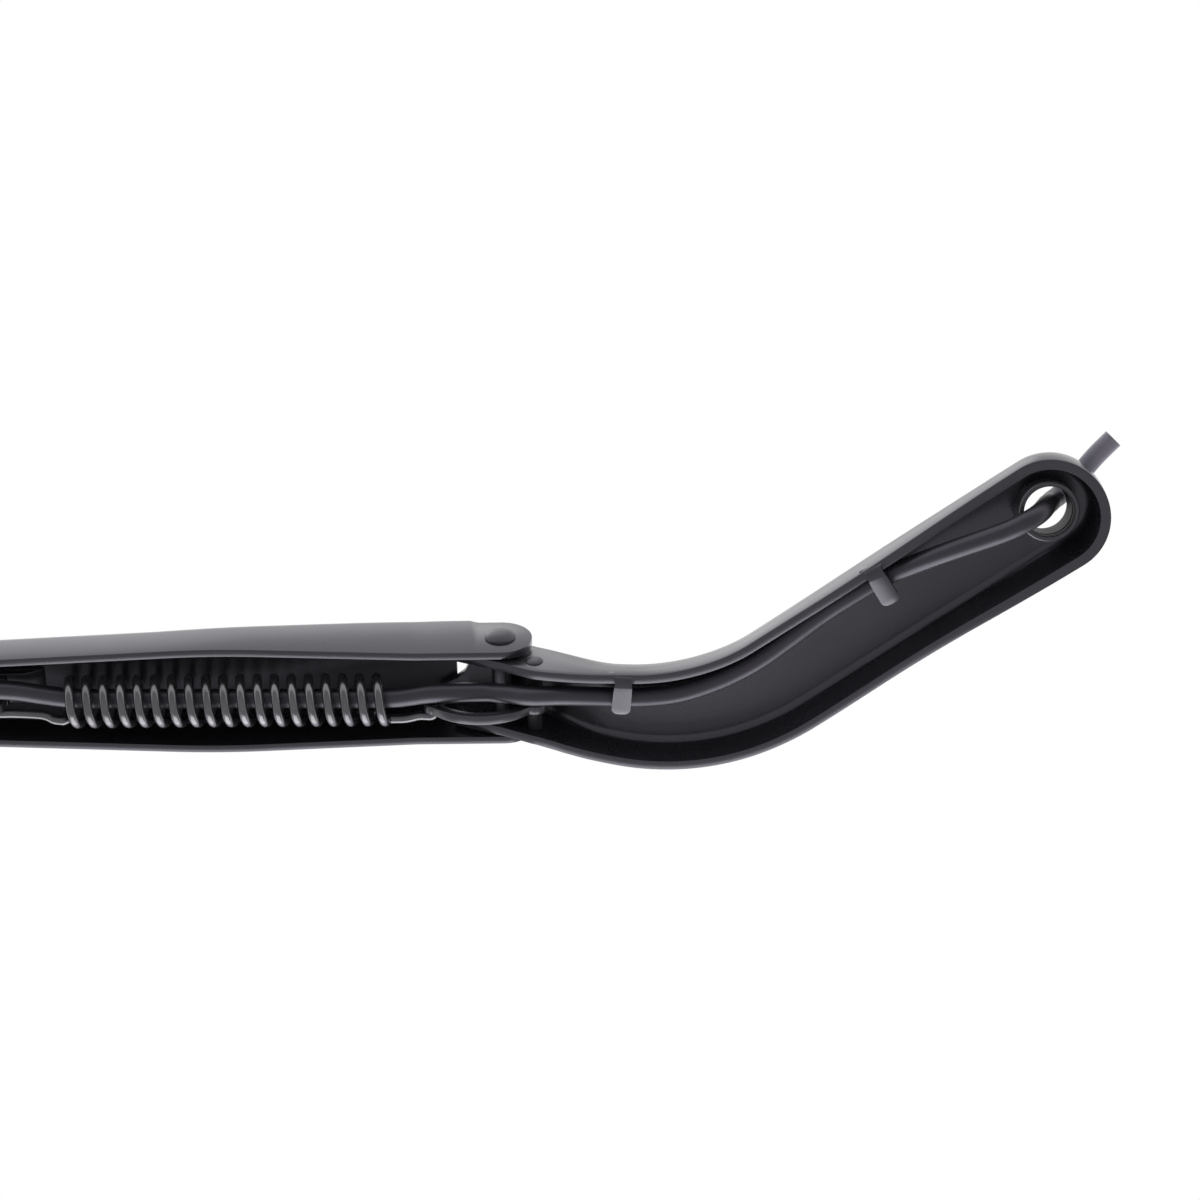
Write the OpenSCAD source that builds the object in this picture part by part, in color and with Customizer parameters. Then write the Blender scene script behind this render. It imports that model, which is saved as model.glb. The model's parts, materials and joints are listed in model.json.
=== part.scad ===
// Windscreen wiper arm with a pressed steel spindle head, a hinged sprung arm
// and a washer hose that runs through both.
// Origin: centre of the spindle bore. +Z: the arm's outer side, away from the glass.
// The arm reaches towards -X. Millimetres.

/* [Spindle head] */
// Sheet thickness of the head
head_sheet = 2.4; // [1.8:0.1:3.0]
// Outer bend radius of the head's pressed edges
head_bend_r = 3.4; // [3.0:0.1:4.0]
// Half width of the head along its straight run
head_half = 14.3; // [13.6:0.1:16]
// Radius of the round spindle end
end_radius = 14; // [12.5:0.1:15]
// Straight run from the dog-leg bend to the spindle
head_run = 79.5; // [60:0.5:110]
// Angle of the dog-leg bend
bend_angle = 42; // [30:1:48]
// Centreline radius of the dog-leg bend
bend_radius = 54; // [48:1:70]
// Run between the hinge and the dog-leg bend
lead_run = 33.5; // [30:0.5:50]
// Height of the head's outer face above the origin
head_top = 2.7; // [2:0.1:4]
// Depth of the head, from its outer face to its free edge
head_depth = 10.2; // [9:0.1:12]
// Roll of the free edge at the spindle end
rim_roll = 14; // [0:1:16]
// Roll of the outer face at the spindle end
web_roll = 5; // [0:1:7]

/* [Spindle bush] */
// Outer radius of the spindle bush
bush_r = 7.4; // [7.0:0.1:8.0]
// Bore radius at the bush's mouth
bush_mouth_r = 6.15; // [5.8:0.05:6.3]
// Bore radius at the bush's outer end
bush_tip_r = 5.9; // [5.5:0.05:6.1]
// Reach of the bush below the origin
bush_below = 7.2; // [5.5:0.1:7.5]
// Reach of the bush above the head's outer face
bush_above = 0.3; // [0.2:0.1:1.5]
// Tilt of the bore about X
bore_tilt = 16; // [10:1:18]

/* [Hose clips of the head] */
// Width of each clip tab at its tip
tab_width = 5.3; // [4:0.1:7]
// Thickness of each clip tab
tab_sheet = 2; // [1.5:0.1:2.4]
// Reach of each tab in from the head's outer wall face
tab_reach = 11.2; // [9:0.1:12]
// Place of the first tab, from the hinge
tab_near = 31; // [26:0.5:36]
// Distance of the second tab from the spindle
tab_far = 43; // [34:0.5:60]
// Turn of the second tab in plan
far_tab_turn = 7; // [0:1:10]

/* [Hinge] */
// Half width of the head's knuckle over its outer faces
knuckle_half = 10.75; // [10:0.05:12]
// Height of the hinge axis above the arm's free edge
hinge_height = 7.9; // [7.5:0.1:9]
// Radius of the hinge rivet's shank
rivet_r = 2.5; // [2:0.1:2.6]
// Radius of the hinge rivet's heads
rivet_head_r = 3.95; // [3.5:0.05:5]
// Height of the hinge rivet's domed heads
rivet_head_h = 1.5; // [1:0.1:2]
// Gap between the knuckle and the arm's ears, where the bush flanges sit
ear_gap = 0.65; // [0.6:0.05:1]
// Radius of the arm's ears
ear_r = 8.1; // [7.5:0.1:9]
// Running clearance of the hinge rivet in its bushes
running_clear = 0.05; // [0.02:0.01:0.1]
// Gap between the head's nose and the arm's back, which stops the arm
stop_gap = 0.3; // [0.2:0.05:0.6]

/* [Arm channel] */
// Sheet thickness of the arm channel
arm_sheet = 2; // [1.5:0.1:2.2]
// Outer bend radius of the arm channel
arm_bend_r = 2.6; // [2.3:0.1:2.8]
// Length of the channel, from the hinge axis
channel_len = 250; // [220:1:280]
// Distance of the channel's widest place from the hinge
wide_at = 73; // [60:1:90]
// Half width at the channel's widest place
wide_half = 15.2; // [14.5:0.1:17]
// Depth of the channel at the hinge
depth_hinge = 19.1; // [18.5:0.1:20]
// Depth of the channel's slender part
depth_slim = 12.7; // [11.5:0.1:14]
// Distance from the hinge to the cut end of the channel's back
back_end = 11.9; // [11:0.1:13]

/* [Bar and blade hook] */
// Width of the flat bar
bar_width = 9; // [7:0.5:9]
// Thickness of the flat bar
bar_thick = 3; // [2.5:0.1:4]
// Distance from the hinge to the bar's inner end
bar_start = 118; // [114:1:124]
// Distance from the channel's outer end to the centre of the hook's bend
bar_reach = 100; // [90:1:170]
// Inner radius of the blade hook
hook_r = 3; // [2.5:0.1:4]
// Length of the hook's straight tail
hook_tail = 13; // [8:0.5:16]
// Coined slope at the bar's inner end
bar_slope = 4.7; // [3:0.1:6]

/* [Spring and pull link] */
// Wire diameter of the spring
wire_d = 2.45; // [2:0.05:2.6]
// Mean radius of the coils
coil_r = 5.7; // [5.3:0.05:6]
// Pitch of the drawn-out coils
coil_pitch = 4.36; // [4:0.02:4.5]
// Number of coils
coil_count = 19; // [15:1:20]
// Distance from the hinge to the last coil
coil_end = 29.2; // [26:0.1:32]
// Link pin, ahead of the hinge axis
pin_ahead = 8.7; // [8:0.1:10]
// Link pin, below the hinge axis
pin_below = 7.6; // [7.2:0.1:8.4]
// Radius of the link pin
pin_r = 2; // [1.6:0.05:2.2]
// Thickness of the pull link
link_thick = 2.4; // [2:0.1:2.5]
// Outer radius of the link's bow
link_outer_r = 17.3; // [17:0.1:18]
// Inner radius of the link's bow
link_inner_r = 14.8; // [14.2:0.1:15]

/* [Washer hose] */
// Outer diameter of the washer hose
hose_d = 5; // [4:0.1:5]

/* [Hidden] */

// Clearance of pressed pieces, which stay put
press_clear = 0.02;
// Clearance of a link or a wire that swings in its hole
swing_clear = 0.06;
wire_clear = 0.32;
wire_r = wire_d/2;
hose_r = hose_d/2;

// Smooth step from 0 to 1
function smooth(t) = let (u = min(max(t, 0), 1)) u*u*(3 - 2*u);
function unit(v) = v/norm(v);

// Run of a curve of constant turn, from heading h0 to heading h1
function arc_move(len, h0, h1) =
    abs(h1 - h0) < 0.001
        ? len*[cos(h0), sin(h0)]
        : len*180/PI/(h1 - h0)*[sin(h1) - sin(h0), cos(h0) - cos(h1)];

// Spine of the head in plan: s is the distance along it from the hinge
knuckle_run = 6;
lead_turn = 6.5;
lead_turn_len = 14;
bend_len = bend_radius*bend_angle*PI/180;
head_len = lead_run + bend_len + head_run;
lead_straight = lead_run - knuckle_run - lead_turn_len;
end_heading = lead_turn - bend_angle;

function part_of(s, from, len) = min(max(s - from, 0), len);
function turn1(s) = lead_turn*part_of(s, knuckle_run, lead_turn_len)/lead_turn_len;
function turn2(s) = bend_angle*part_of(s, lead_run, bend_len)/bend_len;
function heading(s) = turn1(s) - turn2(s);
function spine_raw(s) =
    arc_move(min(s, knuckle_run), 0, 0)
    + arc_move(part_of(s, knuckle_run, lead_turn_len), 0, turn1(s))
    + arc_move(part_of(s, knuckle_run + lead_turn_len, lead_straight), lead_turn, lead_turn)
    + arc_move(part_of(s, lead_run, bend_len), lead_turn, lead_turn - turn2(s))
    + arc_move(part_of(s, lead_run + bend_len, head_run), end_heading, end_heading);
// Centre of the head's round end, from the bore's centre
end_centre = [0.6, -0.8];
function spine(s) = spine_raw(s) - spine_raw(head_len) + end_centre;

// Hinge axis, which runs along Y, and the arm's free edge at Z = 0
hinge_x = spine(0)[0];
hinge_y = spine(0)[1];
hinge_z = hinge_height;
arm_inner = knuckle_half + ear_gap;
arm_half = arm_inner + arm_sheet;

// Head section: half width, free edge and outer face along the spine
nose_start = -12;
nose_top = depth_hinge - arm_sheet - stop_gap;
rim_level = head_top - head_depth;
flare_from = 9;
flare_to = 62;
end_blend = 60;
function flare(s) = sin(90*pow(part_of(s, flare_from, flare_to - flare_from)/(flare_to - flare_from), 1.1));
function end_share(s) = smooth((s - head_len + end_blend)/end_blend);
function half_at(s) =
    knuckle_half + (head_half - knuckle_half)*flare(s) - (head_half - end_radius)*end_share(s);
function rim_at(s) = lookup(s, [
    [nose_start, 5], [-6, 2.2], [0, -0.4], [4, -2.6], [8, -4.7],
    [12, -6], [17, rim_level + 0.4], [23, rim_level]]);
function top_at(s) = head_top + (nose_top - head_top)*(1 - smooth((s + 7)/37));

// A point of the head's skin: inset from the outline, at side -1 or 1
function head_xy(s, phi, side, inset) =
    let (h = heading(s), reach = half_at(s) - inset)
    spine(s) + reach*(cos(phi)*[cos(h), sin(h)] + side*sin(phi)*[-sin(h), cos(h)]);
function across(s, phi, side, inset) = side*(half_at(s) - inset)*sin(phi);
function rim_point(s, phi, side, inset) =
    let (p = head_xy(s, phi, side, inset))
    [p[0], p[1], rim_at(s) - tan(rim_roll)*end_share(s)*across(s, phi, side, inset)];
function web_point(s, phi, side, inset, drop) =
    let (p = head_xy(s, phi, side, inset))
    [p[0], p[1], top_at(s) - drop - tan(web_roll)*end_share(s)*across(s, phi, side, inset)];

// One side of a pressed section, from its free edge up to its back: bend radius r about
// a centre that lies inset and dropped by outer_r
BEND_STEPS = 3;
function half_section(s, phi, side, inset, outer_r, r) = concat(
    [rim_point(s, phi, side, inset)],
    [for (k = [0:BEND_STEPS]) let (b = 90*k/BEND_STEPS)
        web_point(s, phi, side, outer_r - r*cos(b), outer_r - r*sin(b))]);
function reversed(list) = [for (i = [len(list) - 1:-1:0]) list[i]];
function head_section(s, phi, inset, r) = concat(
    half_section(s, phi, -1, inset, head_bend_r, r),
    reversed(half_section(s, phi, 1, inset, head_bend_r, r)));

// Faces of a pressed skin: rings of 2*m points, the outer skin first, then the inner one
function split(a, b, c, d) = [[a, b, c], [a, c, d]];
function flat1(lists) = [for (l = lists) for (f = l) f];
function skin_faces(rings, m) = flat1([for (i = [0:rings - 2]) let (p = 2*m*i, q = 2*m*(i + 1)) flat1([
    flat1([for (j = [0:m - 2]) split(p + j, p + j + 1, q + j + 1, q + j)]),
    flat1([for (j = [0:m - 2]) split(p + m + j, q + m + j, q + m + j + 1, p + m + j + 1)]),
    split(p, q, q + m, p + m),
    split(p + 2*m - 1, q + 2*m - 1, q + m - 1, p + m - 1)])]);
function start_cap(m) = flat1([for (j = [0:m - 2]) split(m + j, m + j + 1, j + 1, j)]);
function end_cap(rings, m) = let (p = 2*m*(rings - 1))
    flat1([for (j = [0:m - 2]) split(p + j, p + j + 1, p + m + j + 1, p + m + j)]);
// Closed round end: each point joins its mirror point across the tip
function tip_faces(rings, m) = let (p = 2*m*(rings - 1), q = p + m) concat(
    flat1([for (j = [0:m/2 - 2]) split(p + j, p + j + 1, p + m - 2 - j, p + m - 1 - j)]),
    flat1([for (j = [0:m/2 - 2]) split(q + j, q + m - 1 - j, q + m - 2 - j, q + j + 1)]),
    split(q, p, p + m - 1, q + m - 1));

// Swept tube: rings of points round a path, with a frame that doesn't twist
function path_dir(path, i) =
    unit(path[min(i + 1, len(path) - 1)] - path[max(i - 1, 0)]);
function normals(path, start) = [
    for (i = 0, n = unit(start - (start*path_dir(path, 0))*path_dir(path, 0));
         i < len(path);
         i = i + 1,
         n = i < len(path) ? unit(n - (n*path_dir(path, i))*path_dir(path, i)) : n)
    n];
module tube(path, r, sides, start = [0, 0, 1]) {
    up = normals(path, start);
    count = len(path);
    points = [for (i = [0:count - 1]) let (t = path_dir(path, i), v = cross(t, up[i]))
        for (k = [0:sides - 1]) path[i] + r*(cos(360*k/sides)*up[i] + sin(360*k/sides)*v)];
    sleeve = flat1([for (i = [0:count - 2]) flat1([for (k = [0:sides - 1])
        let (a = i*sides + k, b = i*sides + (k + 1)%sides)
        split(a, a + sides, b + sides, b)])]);
    polyhedron(points, concat(
        sleeve,
        [[for (k = [0:sides - 1]) k]],
        [[for (k = [sides - 1:-1:0]) (count - 1)*sides + k]]));
}

// Smooth curve through a list of points
function curve_point(p, i, t) = let (
        a = p[max(i - 1, 0)], b = p[i], c = p[i + 1], d = p[min(i + 2, len(p) - 1)])
    0.5*(2*b + (c - a)*t + (2*a - 5*b + 4*c - d)*t*t + (3*b - a - 3*c + d)*t*t*t);
function curve(p, steps) = concat(
    [for (i = [0:len(p) - 2]) for (k = [0:steps - 1]) curve_point(p, i, k/steps)],
    [p[len(p) - 1]]);

// Places along the arm: distance behind the hinge, across from its middle, height
function arm_point(s, w, z) = [hinge_x + s, hinge_y + w, z];

// A domed rivet head on the plane z = 0
module dome(r, h) {
    ball = (r*r + h*h)/(2*h);
    intersection() {
        translate([0, 0, h - ball]) sphere(ball, $fn = 48);
        cylinder(h = h + 1, r = r, $fn = 48);
    }
}

// A pin along Y, centred, with its ends at +-half
module cross_pin(r, half) {
    rotate([90, 0, 0]) cylinder(h = 2*half, r = r, center = true, $fn = 48);
}

// Head channel: pressed in one piece with its knuckle, nose and two hose clips
RUN_STEP = 4;
END_STEP = 6;
TIP_ANGLE = 3;
head_stations = concat(
    [for (i = [0:floor((head_len - nose_start)/RUN_STEP) - 1]) [nose_start + i*RUN_STEP, 90]],
    [[head_len, 90]],
    [for (a = [90 - END_STEP:-END_STEP:END_STEP]) [head_len, a]],
    [[head_len, TIP_ANGLE]]);
HEAD_M = 2*(BEND_STEPS + 2);

module head_shell() {
    points = [for (st = head_stations) each concat(
        head_section(st[0], st[1], 0, head_bend_r),
        head_section(st[0], st[1], head_sheet, head_bend_r - head_sheet))];
    count = len(head_stations);
    polyhedron(points, concat(
        skin_faces(count, HEAD_M), start_cap(HEAD_M), tip_faces(count, HEAD_M)));
}

// Nose plate that the arm's back rests over: its edge runs slantwise, from one wall
// to a short tongue beside the other
nose_edge = [[-7.4, -8.4], [-8.7, -2], [-9.8, 0.5], [-12.1, 2.3], [-16.5, 4.5]];
nose_cut_z = 11.5;
module nose_tongue() {
    translate([hinge_x, hinge_y, nose_top - head_sheet]) linear_extrude(height = head_sheet)
        polygon([nose_edge[3], nose_edge[4], [-16.5, 6], [-15, 7.4], [nose_start + 0.1, 7.4],
            [nose_start + 0.1, 2.2]]);
}
module nose_cut() {
    outer = knuckle_half + 1;
    translate([hinge_x, hinge_y, nose_cut_z]) linear_extrude(height = 10)
        polygon(concat(nose_edge, [[-20, 4.5], [-20, -outer], [-7.4, -outer]]));
}

// A hose clip: the wall's sheet turned in over the hose, drawn across the head. It is
// broader at its root and rounded at its tip.
tab_outer_r = 3.4;
tab_root = tab_width + 1.6;
module clip_profile(wall, rim, reach) {
    inner_r = tab_outer_r - tab_sheet;
    low = rim - 1.1;
    translate([-wall + tab_outer_r, low + tab_outer_r]) intersection() {
        difference() {
            circle(tab_outer_r, $fn = 48);
            circle(inner_r, $fn = 48);
        }
        translate([-tab_outer_r, -tab_outer_r]) square(tab_outer_r);
    }
    translate([-wall, low + tab_outer_r - 0.1]) square([tab_sheet, 2]);
    translate([-wall + tab_outer_r - 0.05, low])
        square([reach - tab_outer_r - tab_sheet/2, tab_sheet]);
    translate([-wall + reach - tab_sheet/2, low + tab_sheet/2]) circle(tab_sheet/2, $fn = 32);
}
module tab_plan(wall, reach) {
    hull() {
        translate([0, reach - wall - tab_width/2]) circle(tab_width/2, $fn = 48);
        translate([-tab_root/2, -wall - 1]) square([tab_root, 1 + tab_outer_r]);
    }
}
module hose_tab(s, turn, reach) {
    p = spine(s);
    wall = half_at(s);
    rim = rim_at(s) + tan(rim_roll)*end_share(s)*wall;
    translate([p[0], p[1], 0]) rotate([0, 0, heading(s)])
        translate([0, -wall, 0]) rotate([0, 0, turn]) translate([0, wall, 0]) intersection() {
            rotate([90, 0, 90]) linear_extrude(height = tab_root, center = true)
                clip_profile(wall, rim, reach);
            translate([0, 0, rim - 3]) linear_extrude(height = 12) tab_plan(wall, reach);
        }
}

module head_channel() {
    color([0.07, 0.07, 0.075]) difference() {
        union() {
            head_shell();
            nose_tongue();
            hose_tab(tab_near, 0, tab_reach);
            hose_tab(head_len - tab_far, far_tab_turn, tab_reach + 0.5);
        }
        nose_cut();
        translate([hinge_x, hinge_y, hinge_z]) cross_pin(sleeve_r + press_clear, knuckle_half + 3);
        translate([hinge_x + pin_ahead, hinge_y, hinge_z - pin_below])
            cross_pin(pin_r + press_clear, knuckle_half + 3);
        rotate([-bore_tilt, 0, 0])
            cylinder(h = 30, r = bush_r + press_clear, center = true, $fn = 72);
    }
}

// Spindle bush, pressed into the head, with a tapered bore
module spindle_bush() {
    top = head_top + bush_above;
    color([0.09, 0.09, 0.095]) rotate([-bore_tilt, 0, 0]) difference() {
        translate([0, 0, -bush_below]) cylinder(h = bush_below + top, r = bush_r, $fn = 72);
        translate([0, 0, -bush_below - 0.001])
            cylinder(h = bush_below + top + 0.002, r1 = bush_mouth_r, r2 = bush_tip_r, $fn = 72);
    }
}

// Flanged hinge bushes, pressed into the knuckle's walls
sleeve_r = rivet_r + 0.9;
flange_r = 5;
flange_gap = 0.05;
module hinge_bush(side) {
    color([0.12, 0.12, 0.12])
        translate([hinge_x, hinge_y + side*(knuckle_half - head_sheet), hinge_z])
            rotate([-90*side, 0, 0]) difference() {
                union() {
                    cylinder(h = head_sheet, r = sleeve_r, $fn = 48);
                    translate([0, 0, head_sheet])
                        cylinder(h = ear_gap - flange_gap, r = flange_r, $fn = 48);
                }
                translate([0, 0, -1])
                    cylinder(h = head_sheet + ear_gap + 2, r = rivet_r + running_clear, $fn = 48);
            }
}

// Hinge rivet: it turns with the arm's ears
module hinge_rivet() {
    color([0.08, 0.08, 0.085]) translate([hinge_x, hinge_y, hinge_z]) {
        cross_pin(rivet_r, arm_half + 0.1);
        for (side = [-1, 1])
            translate([0, side*arm_half, 0]) rotate([-90*side, 0, 0]) dome(rivet_head_r, rivet_head_h);
    }
}

// Link pin across the knuckle
pin_dome = 0.55;
module link_pin() {
    color([0.08, 0.08, 0.085]) translate([hinge_x + pin_ahead, hinge_y, hinge_z - pin_below]) {
        cross_pin(pin_r, knuckle_half);
        for (side = [-1, 1])
            translate([0, side*knuckle_half, 0]) rotate([-90*side, 0, 0]) dome(pin_r, pin_dome);
    }
}

// Pull link: a bowed plate from the pin to the spring's hook, clear of the hinge rivet
link_plane = 2.2;
pin_x = pin_ahead;
pin_z = hinge_z - pin_below;
eye_x = -17;
eye_z = pin_z + 0.2;
bow_x = (pin_x + eye_x)/2 - 0.7;
bow_z = pin_z + 9.4;
pin_eye_r = 3.2;
hook_eye_r = 2.75;
module pull_link() {
    color([0.1, 0.1, 0.105])
        translate([hinge_x, hinge_y + link_plane + link_thick/2, 0])
            rotate([90, 0, 0]) linear_extrude(height = link_thick) difference() {
                union() {
                    intersection() {
                        difference() {
                            translate([bow_x, bow_z]) circle(link_outer_r, $fn = 96);
                            translate([bow_x, bow_z]) circle(link_inner_r, $fn = 96);
                        }
                        polygon([[bow_x, bow_z], [pin_x, pin_z], [pin_x + 3, -14], [eye_x - 3, -14],
                            [eye_x, eye_z]]);
                    }
                    translate([pin_x, pin_z]) circle(pin_eye_r, $fn = 48);
                    translate([eye_x, eye_z]) circle(hook_eye_r, $fn = 48);
                }
                translate([pin_x, pin_z]) circle(pin_r + swing_clear, $fn = 48);
                translate([eye_x, eye_z]) circle(wire_r + wire_clear, $fn = 48);
            }
}

// Tension spring: hook, coils and hook as one wire
coil_w = 0.3;
anchor_plane = 1;
anchor_x = -130.6;
anchor_z = pin_z + 1.2;
function pull_z(s) = eye_z + (anchor_z - eye_z)*(s - eye_x)/(anchor_x - eye_x);
WIRE_SIDES = 6;
TURN_STEPS = 14;
coil_start = -coil_end - coil_pitch*coil_count;
helix = [for (i = [0:TURN_STEPS*coil_count]) let (
        a = 90 + 360*i/TURN_STEPS, s = coil_start + coil_pitch*i/TURN_STEPS)
    arm_point(s, coil_w + coil_r*sin(a), pull_z(s) - coil_r*cos(a))];
side_w = coil_w + coil_r;
hook_near = curve([
    arm_point(-coil_end, side_w, pull_z(-coil_end)),
    arm_point(-24.6, side_w - 0.1, pull_z(-24.6)),
    arm_point(-21, side_w - 0.9, pull_z(-21)),
    arm_point(eye_x - 0.8, link_plane + 2.9, eye_z),
    arm_point(eye_x, link_plane + 1.4, eye_z),
    arm_point(eye_x, link_plane - link_thick/2 - 0.5, eye_z)], 4);
hook_far = curve([
    arm_point(anchor_x, anchor_plane - 1.8, anchor_z),
    arm_point(anchor_x, anchor_plane + 1.1, anchor_z),
    arm_point(anchor_x + 1.2, anchor_plane + 2.6, anchor_z),
    arm_point(anchor_x + 6, side_w - 2.3, anchor_z),
    arm_point(anchor_x + 13, side_w - 1.8, pull_z(anchor_x + 13)),
    arm_point(coil_start - 2.6, side_w - 0.4, pull_z(coil_start)),
    arm_point(coil_start, side_w, pull_z(coil_start))], 4);
spring_path = concat(
    [for (i = [0:len(hook_far) - 2]) hook_far[i]],
    helix,
    [for (i = [1:len(hook_near) - 1]) hook_near[i]]);
module tension_spring() {
    color([0.16, 0.16, 0.17]) tube(spring_path, wire_r, WIRE_SIDES);
}

// Arm channel section along the arm
slim_share_from = 92;
slim_share_len = 82;
end_rise = 6;
rise_from = 150;
taper = 0.046;
crown = wide_half + 0.15;
flat_to = 22;
lead_slope = (crown - arm_half)/(wide_at - flat_to);
crown_half = 12;
function arm_top(s) = depth_slim + (depth_hinge - depth_slim)*smooth((s + slim_share_from)/slim_share_len);
// Half width: two straight tapers, which meet in a rounded crown at the widest place
function arm_half_at(s) = let (
        d = s + wide_at,
        sides = crown - (d < 0 ? -d*taper : d*lead_slope),
        round = (taper + lead_slope)/(4*crown_half)*pow(max(crown_half - abs(d), 0), 2))
    s > -flat_to ? arm_half : sides - round;
function arm_rim(s) = end_rise*smooth((-s - rise_from)/(channel_len - rise_from));
function arm_side(s, side, inset, r) = concat(
    [arm_point(s, side*(arm_half_at(s) - inset), arm_rim(s))],
    [for (k = [0:BEND_STEPS]) let (b = 90*k/BEND_STEPS)
        arm_point(s, side*(arm_half_at(s) - arm_bend_r + r*cos(b)), arm_top(s) - arm_bend_r + r*sin(b))]);
function arm_section(s, inset, r) = concat(
    arm_side(s, -1, inset, r), reversed(arm_side(s, 1, inset, r)));
ARM_STEP = 8;
arm_stations = concat(
    [for (s = [-channel_len:ARM_STEP:-wide_at - crown_half - 2]) s],
    [for (d = [-crown_half:crown_half/2:crown_half]) d - wide_at],
    [for (s = [-wide_at + crown_half + ARM_STEP:ARM_STEP:-24]) s],
    [-flat_to, -11, 12]);
module arm_shell() {
    points = [for (s = arm_stations) each concat(
        arm_section(s, 0, arm_bend_r),
        arm_section(s, arm_sheet, arm_bend_r - arm_sheet))];
    count = len(arm_stations);
    polyhedron(points, concat(
        skin_faces(count, HEAD_M), start_cap(HEAD_M), end_cap(count, HEAD_M)));
}

// Side view of the arm channel, whose walls end in round ears
wall_end = 11.1;
wall_step = 5.6;
ear_top = hinge_height + ear_r;
function step_point(t) = [
    t*wall_step - wall_end, depth_hinge - (depth_hinge - ear_top)*smooth(t)];
module arm_outline() {
    back = depth_hinge + 5;
    translate([-channel_len - 1, -1]) square([channel_len + 1 - wall_end, back]);
    polygon(concat(
        [[-wall_end - 1, -1], [0.5, -1], [0.5, ear_top]],
        [for (k = [6:-1:0]) step_point(k/6)],
        [[-wall_end - 1, depth_hinge + 1]]));
    translate([0, hinge_height]) circle(ear_r, $fn = 72);
    polygon([[-1, -1], [0.5, -1], [0.5, 0], [2.5, 0.25], [4.6, 1.2], [6.4, 2.9],
        [ear_r - 0.5, 5.1], [ear_r, hinge_height], [-1, hinge_height]]);
}
// The back between the walls ends short of the hinge
back_half = arm_half - arm_bend_r;
module back_cut() {
    translate(arm_point(-back_end, -back_half, depth_hinge - arm_sheet - 0.5))
        cube([back_end + 5, 2*back_half, arm_sheet + 2]);
}

bar_top = depth_slim - arm_sheet - press_clear;
bar_bottom = bar_top - bar_thick;
hook_at = channel_len + bar_reach;
rivet_inner_at = 143;
rivet_outer_at = 172;
small_rivet_r = 2;
module arm_channel() {
    color([0.07, 0.07, 0.075]) difference() {
        intersection() {
            arm_shell();
            translate([hinge_x, hinge_y + 30, 0]) rotate([90, 0, 0])
                linear_extrude(height = 60) arm_outline();
        }
        back_cut();
        translate([hinge_x, hinge_y, hinge_z]) cross_pin(rivet_r + press_clear, arm_half + 3);
        for (at = [rivet_inner_at, rivet_outer_at])
            translate(arm_point(-at, 0, bar_top - 1))
                cylinder(h = arm_sheet + 2, r = small_rivet_r + press_clear, $fn = 32);
    }
}

// Flat bar with the blade hook at its outer end
module flat_bar() {
    color([0.08, 0.08, 0.085]) difference() {
        translate([hinge_x, hinge_y + bar_width/2, 0]) rotate([90, 0, 0])
            linear_extrude(height = bar_width) {
                polygon([[-hook_at, bar_bottom], [-bar_start - bar_slope, bar_bottom],
                    [-bar_start, bar_top - 0.6], [-bar_start, bar_top], [-hook_at, bar_top]]);
                translate([-hook_at, bar_bottom - hook_r]) intersection() {
                    difference() {
                        circle(hook_r + bar_thick, $fn = 72);
                        circle(hook_r, $fn = 72);
                    }
                    translate([-20, -20]) square([20, 40]);
                }
                translate([-hook_at, bar_bottom - 2*hook_r - bar_thick])
                    square([hook_tail, bar_thick]);
            }
        for (at = [rivet_inner_at, rivet_outer_at])
            translate(arm_point(-at, 0, bar_bottom - 1))
                cylinder(h = bar_thick + 2, r = small_rivet_r + press_clear, $fn = 32);
    }
}

// Small rivets through the channel's back and the bar
foot_thick = 2;
small_head_r = 3.6;
small_head_h = 1.2;
module bar_rivet(at, low) {
    color([0.08, 0.08, 0.085]) translate(arm_point(-at, 0, 0)) {
        translate([0, 0, low]) cylinder(h = depth_slim - low, r = small_rivet_r, $fn = 32);
        translate([0, 0, depth_slim]) dome(small_head_r, small_head_h);
        translate([0, 0, low]) rotate([180, 0, 0]) dome(small_head_r, small_head_h);
    }
}

// Spring anchor: a foot under the bar and an upright plate with the hook's hole
anchor_thick = 2.4;
anchor_width = 8;
module spring_anchor() {
    color([0.09, 0.09, 0.095]) difference() {
        union() {
            translate(arm_point(-rivet_inner_at - 6, -anchor_width/2, bar_bottom - foot_thick))
                cube([rivet_inner_at + 6 + anchor_x + 3.5, anchor_width, foot_thick]);
            translate(arm_point(anchor_x, anchor_plane + anchor_thick/2, anchor_z))
                rotate([90, 0, 0]) cylinder(h = anchor_thick, r = 3.5, $fn = 48);
            translate(arm_point(anchor_x - 3.5, anchor_plane - anchor_thick/2, anchor_z))
                cube([7, anchor_thick, bar_bottom - foot_thick/2 - anchor_z]);
        }
        translate(arm_point(anchor_x, anchor_plane, anchor_z))
            rotate([90, 0, 0]) cylinder(h = 6, r = wire_r + wire_clear, center = true, $fn = 32);
        translate(arm_point(-rivet_inner_at, 0, bar_bottom - foot_thick - 1))
            cylinder(h = foot_thick + 2, r = small_rivet_r + press_clear, $fn = 32);
    }
}

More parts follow.
